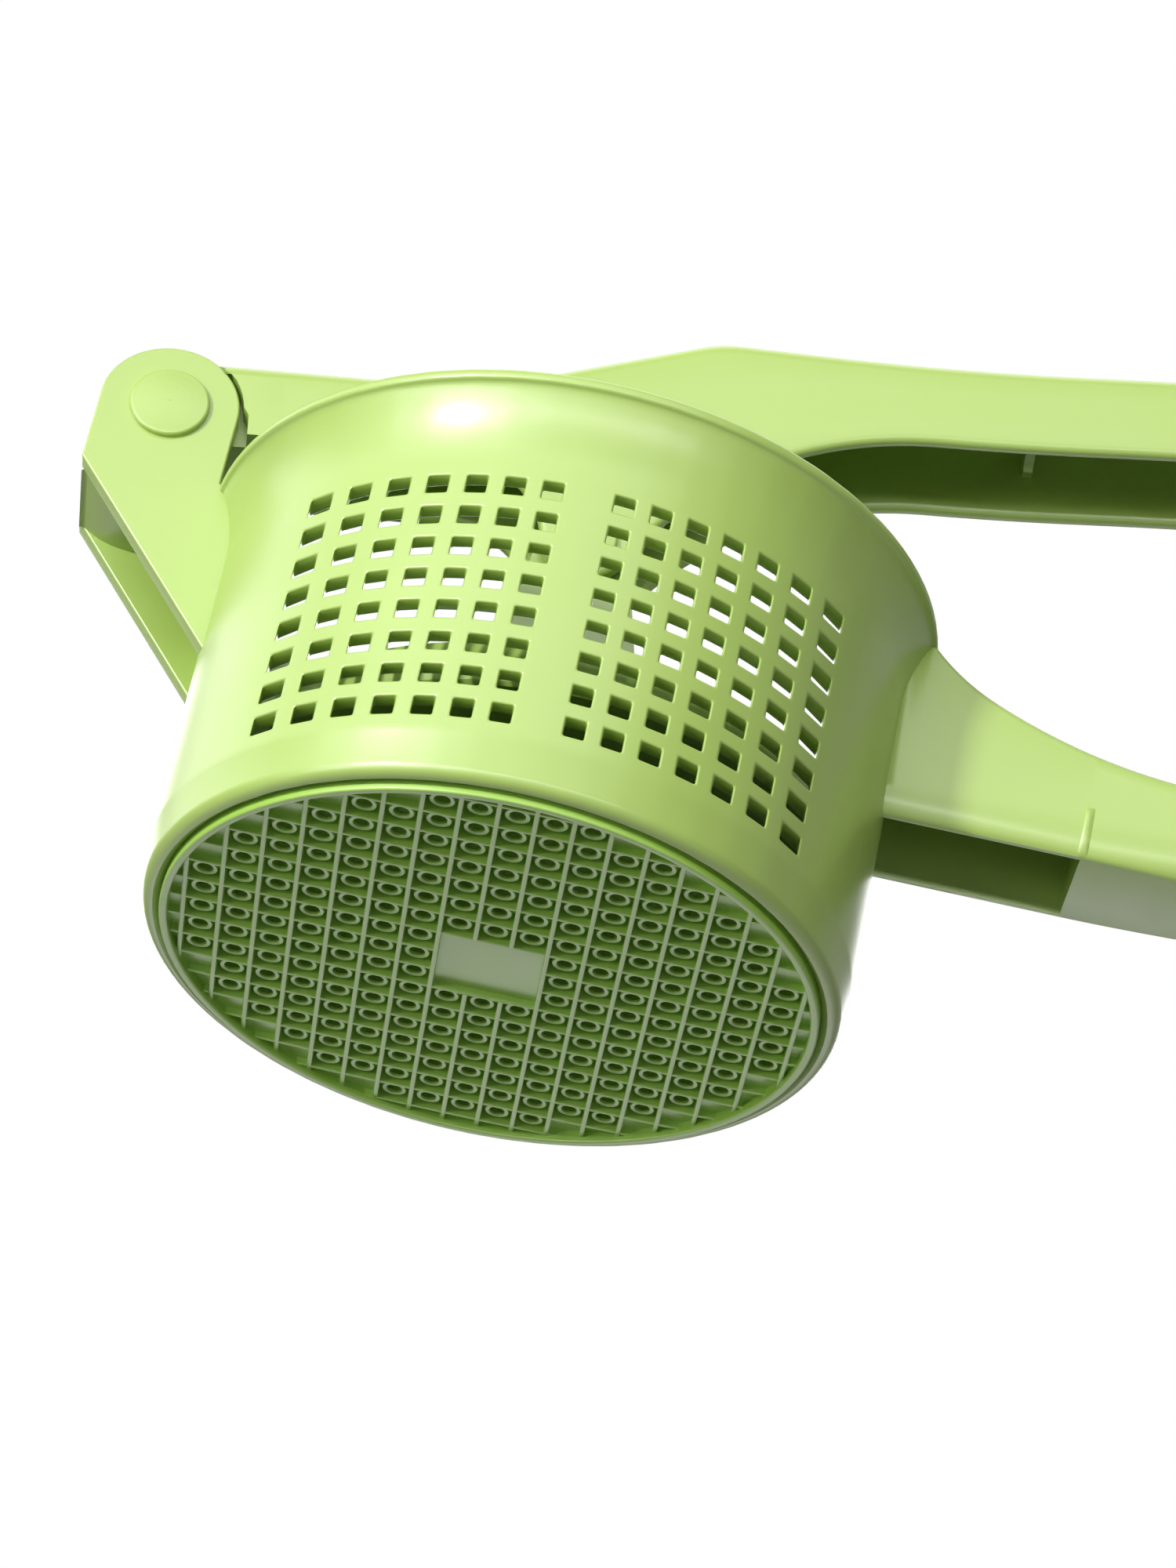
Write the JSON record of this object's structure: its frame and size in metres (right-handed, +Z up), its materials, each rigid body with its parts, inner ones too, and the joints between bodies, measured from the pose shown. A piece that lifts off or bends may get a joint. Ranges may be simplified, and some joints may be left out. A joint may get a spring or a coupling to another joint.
{
  "type": "potato ricer",
  "caption": "Plastic potato ricer: a perforated cup with a handle, and a hinged lever that pushes a press plate down into the cup.",
  "frame": {"origin": "middle of the underside of the whole ricer at rest: on the plane that the cup's foot ring stands on, halfway along the length, in the plane of symmetry", "axes": "+X along the handles, away from the hinge; +Y across, to the side of the hinge pin's cap; +Z up, along the cup's axis"},
  "size_m": [0.2738, 0.1054, 0.133],
  "materials": {
    "body_plastic": "satin leaf-green polypropylene, moulded",
    "pin_plastic": "satin leaf-green polypropylene, moulded"
  },
  "bodies": {
    "basket_body": {"basket": "body_plastic", "sieve_disc": "body_plastic", "hinge_pin": "pin_plastic", "hinge_cap": "pin_plastic"},
    "lever_body": {"lever": "body_plastic", "plate_pin": "pin_plastic", "plate_cap": "pin_plastic"},
    "plate_body": {"press_plate": "body_plastic"}
  },
  "joints": [
    {"name": "lever_hinge", "type": "hinge", "parent": "basket_body", "child": "lever_body", "pos_m": [-0.1269, 0, 0.0748], "axis": [0, -1, 0], "range_deg": [-14, 48]},
    {"name": "plate_pivot", "type": "hinge", "parent": "lever_body", "child": "plate_body", "pos_m": [-0.06498, 0, 0.06739], "axis": [0, -1, 0], "range_deg": [-41, 12]}
  ],
  "couplings": [
    {"joint": "plate_pivot", "follows": "lever_hinge", "ratio": -0.84}
  ]
}
